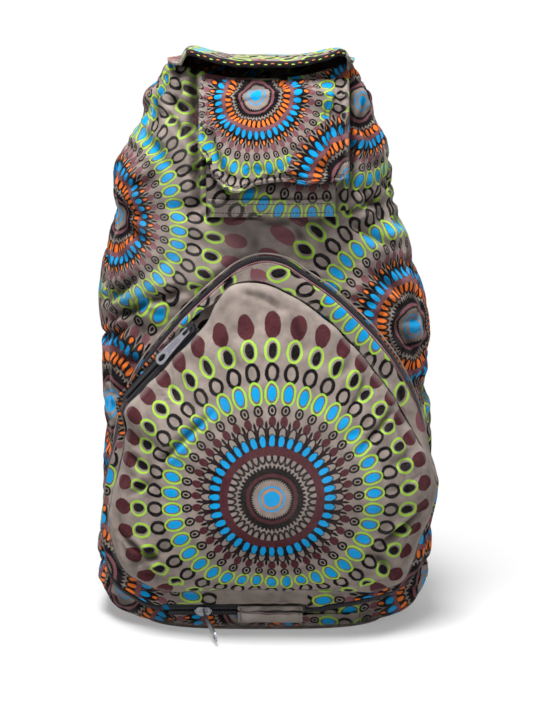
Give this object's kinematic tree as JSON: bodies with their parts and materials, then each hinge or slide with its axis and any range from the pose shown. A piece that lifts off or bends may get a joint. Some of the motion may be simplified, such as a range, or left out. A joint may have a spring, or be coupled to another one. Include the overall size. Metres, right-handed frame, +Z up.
{
  "type": "backpack",
  "caption": "Stuffed stonewashed cotton rucksack with a domed front pocket, outer and side zips, a small flap pocket, a lid over its mouth and two padded straps",
  "frame": {"origin": "on the floor under the middle of the bag, on the flat underside of its base panel", "axes": "+Z up, -Y towards the front with the domed pocket, +X to the right of someone who looks at the front"},
  "size_m": [0.2818, 0.24, 0.4727],
  "materials": {
    "printed_cotton": "printed stonewashed cotton canvas",
    "plain_cotton": "plain stonewashed cotton",
    "rose_piping": "faded rose cotton piping",
    "nylon_coil": "black nylon coil on woven tape",
    "gunmetal": "gunmetal plated zinc",
    "nickel": "nickel plated zinc",
    "webbing": "black cotton webbing",
    "acetal": "moulded acetal"
  },
  "bodies": {
    "bag": {"base_panel": "printed_cotton", "front_panel": "printed_cotton", "side_panel_left": "printed_cotton", "side_panel_right": "printed_cotton", "back_panel": "printed_cotton", "top_lid": "printed_cotton", "small_pocket": "printed_cotton", "small_pocket_band": "printed_cotton", "small_pocket_flap": "printed_cotton", "front_pocket_panel": "printed_cotton", "pocket_gusset": "printed_cotton", "pocket_base_strip": "printed_cotton", "outer_zip": "nylon_coil", "zip_piping": "rose_piping", "side_zip_inner_half": "nylon_coil", "side_zip_outer_half": "nylon_coil", "lower_zip_lower_half": "nylon_coil", "lower_zip_upper_half": "nylon_coil", "lower_zip_end": "nylon_coil", "zip_patch_upper": "plain_cotton", "zip_patch_lower": "plain_cotton", "shoulder_strap_left": "printed_cotton", "shoulder_strap_right": "printed_cotton", "strap_loop_left": "webbing", "strap_loop_right": "webbing", "ladder_lock_left": "acetal", "ladder_lock_right": "acetal", "webbing_left": "webbing", "webbing_right": "webbing", "anchor_tab_left": "printed_cotton", "anchor_tab_right": "printed_cotton", "haul_loop": "webbing"},
    "side_slider_body": {"side_slider": "gunmetal"},
    "side_pull_body": {"side_pull": "nickel"},
    "lower_slider_body": {"lower_slider": "nickel"},
    "lower_pull_body": {"lower_pull": "nickel"}
  },
  "joints": [
    {"name": "side_zip_slide", "type": "slide", "parent": "bag", "child": "side_slider_body", "axis": [-0.6629, 0.1504, -0.7335], "range_m": [0, 0.072]},
    {"name": "side_pull_hinge", "type": "hinge", "parent": "side_slider_body", "child": "side_pull_body", "pos_m": [-0.06234, -0.08078, 0.25183], "axis": [-0.5504, 0.5662, 0.6135], "range_deg": [0, 160]},
    {"name": "lower_zip_slide", "type": "slide", "parent": "bag", "child": "lower_slider_body", "axis": [1, 0, 0], "range_m": [-0.022, 0.02]},
    {"name": "lower_pull_hinge", "type": "hinge", "parent": "lower_slider_body", "child": "lower_pull_body", "pos_m": [-0.0515, -0.07669, 0.01781], "axis": [0, -0.3502, 0.9367], "range_deg": [-100, 66]}
  ]
}
